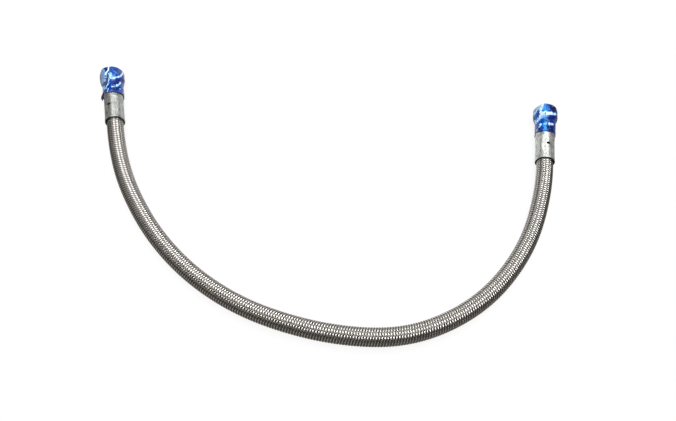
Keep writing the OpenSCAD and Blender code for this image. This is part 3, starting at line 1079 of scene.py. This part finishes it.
def film_piece(end, material):
    """The stretched film as a thin sleeve with a closed, dished end."""
    angles, stations, radii, layers_and_light, clear = film_surface(end)
    rings = [end.at(angles, radii[row], stations[row]) for row in range(FILM_ROWS)]
    tones = list(layers_and_light)
    clearness = list(clear)
    for row in range(1, FILM_CAP_ROWS + 1):
        share = row / FILM_CAP_ROWS
        rim = 0.25 * MM * math.sin(math.pi * min(share * 5, 1))
        dish = 1.1 * MM * smooth_step(share / 0.5) - rim
        pleat = np.cos(9 * angles + 3 * share) * np.sin(math.pi * share) * PLEAT_RISE
        at_cap = FILM_END + FILM_BULGE[end.name] - dish + pleat
        rings.append(end.at(angles, radii[-1] * (1 - share ** 0.9), at_cap))
        middle = 0.55 + 0.2 * np.cos(5 * angles + 6 * share)
        tones.append(layers_and_light[-1] * (1 - share) + middle * share)
        clearness.append(clear[-1] * (1 - share))
    points = np.array(rings)
    points[..., 2] = np.maximum(points[..., 2], 0.03 * MM)
    return film_sheet(f"film_wrap_{end.name}", points, True, tones, clearness, material)


def film_flap(end, material):
    """The loose end of the strip, which stands off the ferrule in a short curl."""
    along = np.linspace(0, 1, 40)[:, None]
    across = np.linspace(-1, 1, 24)[None, :]
    station = (38.5 - 9.5 * along + 0.8 * across ** 2 * along) * MM
    outwards = (across + 1) / 2
    lifted = 9.6 + 2.7 * np.sin(math.pi * (0.1 + 0.75 * along)) * outwards
    curl = 0.5 * across ** 2 * smooth_step(along * 1.4)
    angle = np.radians(-56 - 3 * along - 26 * outwards)
    rings = end.at(angle, (lifted - curl) * MM, station)
    layers_and_light = 0.98 + 0.12 * across ** 2 + 0.06 * np.sin(9 * along)
    clear = 0.1 - 0.1 * across ** 2 + 0 * along
    return film_sheet(f"film_flap_{end.name}", rings, False, layers_and_light, clear, material)


# ---- Floor and light ----

LIT_SPOT = Vector((0, -0.1, 0))

def stage_sheet(name, corners, seen, share, lit):
    """A flat sheet round the object, lit by the lamps as these shader inputs say.

    The camera and reflections see a plain colour in its place, by this share.
    """
    material, nodes, shader = new_material(name)
    nodes.fill(shader, lit)
    path = nodes.add("ShaderNodeLightPath").outputs
    mask = nodes.math("MAXIMUM", path["Is Camera Ray"], path["Is Glossy Ray"])
    mask = nodes.math("MAXIMUM", mask, path["Is Transmission Ray"])
    glow = nodes.add("ShaderNodeEmission", {"Color": (*seen, 1), "Strength": 1.0})
    mixed = nodes.add("ShaderNodeMixShader", {
        0: nodes.times(mask, share), 1: shader, 2: glow,
    })
    nodes.fill(material.node_tree.nodes["Material Output"], {"Surface": mixed})
    mesh = bpy.data.meshes.new(name)
    mesh.from_pydata(corners, [], [tuple(range(len(corners)))])
    mesh.materials.append(material)
    sheet = add_object(name, mesh)
    return sheet


def make_floor():
    half, low = 30.0, -0.05 * MM
    corners = [(-half, -half, low), (half, -half, low), (half, half, low), (-half, half, low)]
    lit = {"Base Color": (0.9, 0.9, 0.9, 1), "Roughness": 0.9}
    stage_sheet("table_top", corners, (1, 1, 1), 0.9, lit)


def make_world():
    """Plain white all round, also for reflections."""
    world = bpy.data.worlds.new("studio")
    world.use_nodes = True
    bpy.context.scene.world = world
    tree = world.node_tree
    Nodes(tree).fill(tree.nodes["Background"], {"Color": (1, 1, 1, 1), "Strength": 1.0})


def area_light(name, at, width, depth, power):
    """A lamp that shines on the middle of the table."""
    data = bpy.data.lights.new(name, "AREA")
    data.shape = "RECTANGLE"
    data.size = width
    data.size_y = depth
    data.energy = power
    light = add_object(name, data)
    light.location = at
    light.rotation_euler = (Vector(at) - LIT_SPOT).to_track_quat("Z", "Y").to_euler()
    return light


def card(name, colour, corners):
    """A flat card: dark to the lamps, and of a plain colour in reflections only."""
    half = [0.5 * part for part in colour]
    lit = {"Base Color": (*half, 1), "Roughness": 1.0, "Specular IOR Level": 0.0}
    sheet = stage_sheet(name, corners, colour, 1.0, lit)
    sheet.visible_camera = False
    return sheet


def make_room():
    """Dark walls and ceiling round the table, with a light back, for the metal to reflect."""
    left, right, front, back, top = -1.95, 2.2, -3.0, 6.0, 3.0
    dark = (0.13, 0.125, 0.115)

    def wall(name, colour, start, end):
        card(name, colour, [(*start, 0), (*end, 0), (*end, top), (*start, top)])

    wall("front_card", (0.055, 0.052, 0.048), (left, front), (right, front))
    card("ceiling_card", (0.16, 0.155, 0.145), [
        (left, front, top), (right, front, top), (right, back, top), (left, back, top),
    ])
    wall("left_card", dark, (left, front), (left, back))
    wall("right_card", dark, (right, front), (right, back))
    wall("back_card", (0.62, 0.61, 0.58), (left, back), (right, back))

    # A grey sheet on the table outside the bow, which runs on past both fittings. Only reflections
    # see it, as a grey table top that is partly painted shade
    low, run = -0.02 * MM, 0.4
    left_end, right_end = ENDS
    line = [left_end.at(0, 0, s) for s in (run, 0)] + BOW
    line += [right_end.at(0, 0, s) for s in (0, run)]
    outer = [(right, back), (right, front), (left, front), (left, back)]
    corners = [(point[0], point[1], low) for point in outer + line]
    sheet = card("table_sheet", (0.34, 0.325, 0.305), corners)
    sheet.visible_shadow = False
    sheet.visible_diffuse = False


def make_lights():
    area_light("back_softbox", (0.03, 0.5, 2.25), 1.7, 2.2, 70)
    fill = area_light("overhead_fill", (0.2, -0.8, 2.3), 1.5, 1.5, 20)
    fill.visible_glossy = False
    make_room()


# ---- The whole ----


def belongs(piece, body, node):
    """Says what a piece moves with, and hides the solid it stands for."""
    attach(piece, body)
    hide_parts(node)


def make_hose(wire, ptfe):
    line = spaced(relaxed(spaced(spline_through(hose_route()))))
    start = (leg_lengths(line).sum() - HOSE_LEN) / 2
    end = start + HOSE_LEN
    free_line = part_of_line(line, start, end)
    dressed = part_of_line(line, start - BRAID_TUCK, end + BRAID_TUCK)

    liner = make_liner(dressed, ptfe)
    belongs(liner, "hose", "ptfe_liner")
    braid = make_braid(dressed, wire)
    for piece in braid:
        belongs(piece, "hose", "wire_braid")


def make_end(end, ptfe, steel, bore_shade, film):
    name = end.name
    ferrule = make_ferrule(end, zinc_material(name), bore_shade)
    belongs(ferrule, "hose", f"ferrule_{name}")
    belongs(make_hose_tail(end, ptfe), "hose", "ptfe_liner")
    belongs(make_nut(end, steel), f"nut_{name}", f"swivel_nut_{name}")
    for part in ("stem", "thrust_wire"):
        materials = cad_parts[f"{part}_{name}"].data.materials
        materials.clear()
        materials.append(steel)
    belongs(film_piece(end, film), f"cover_{name}", f"film_cover_{name}")
    if name == "left":
        belongs(film_flap(end, film), f"cover_{name}", f"film_cover_{name}")


def main():
    make_camera()
    make_mottle_group()
    make_drawn_lines_group()
    wire, ptfe = braid_wire_material(), liner_material()
    steel, bore_shade, film = fitting_material(), bore_shade_material(), film_material()
    make_hose(wire, ptfe)
    for end in ENDS:
        make_end(end, ptfe, steel, bore_shade, film)
    make_floor()
    make_world()
    make_lights()
    bpy.context.scene.view_settings.view_transform = "Standard"


main()
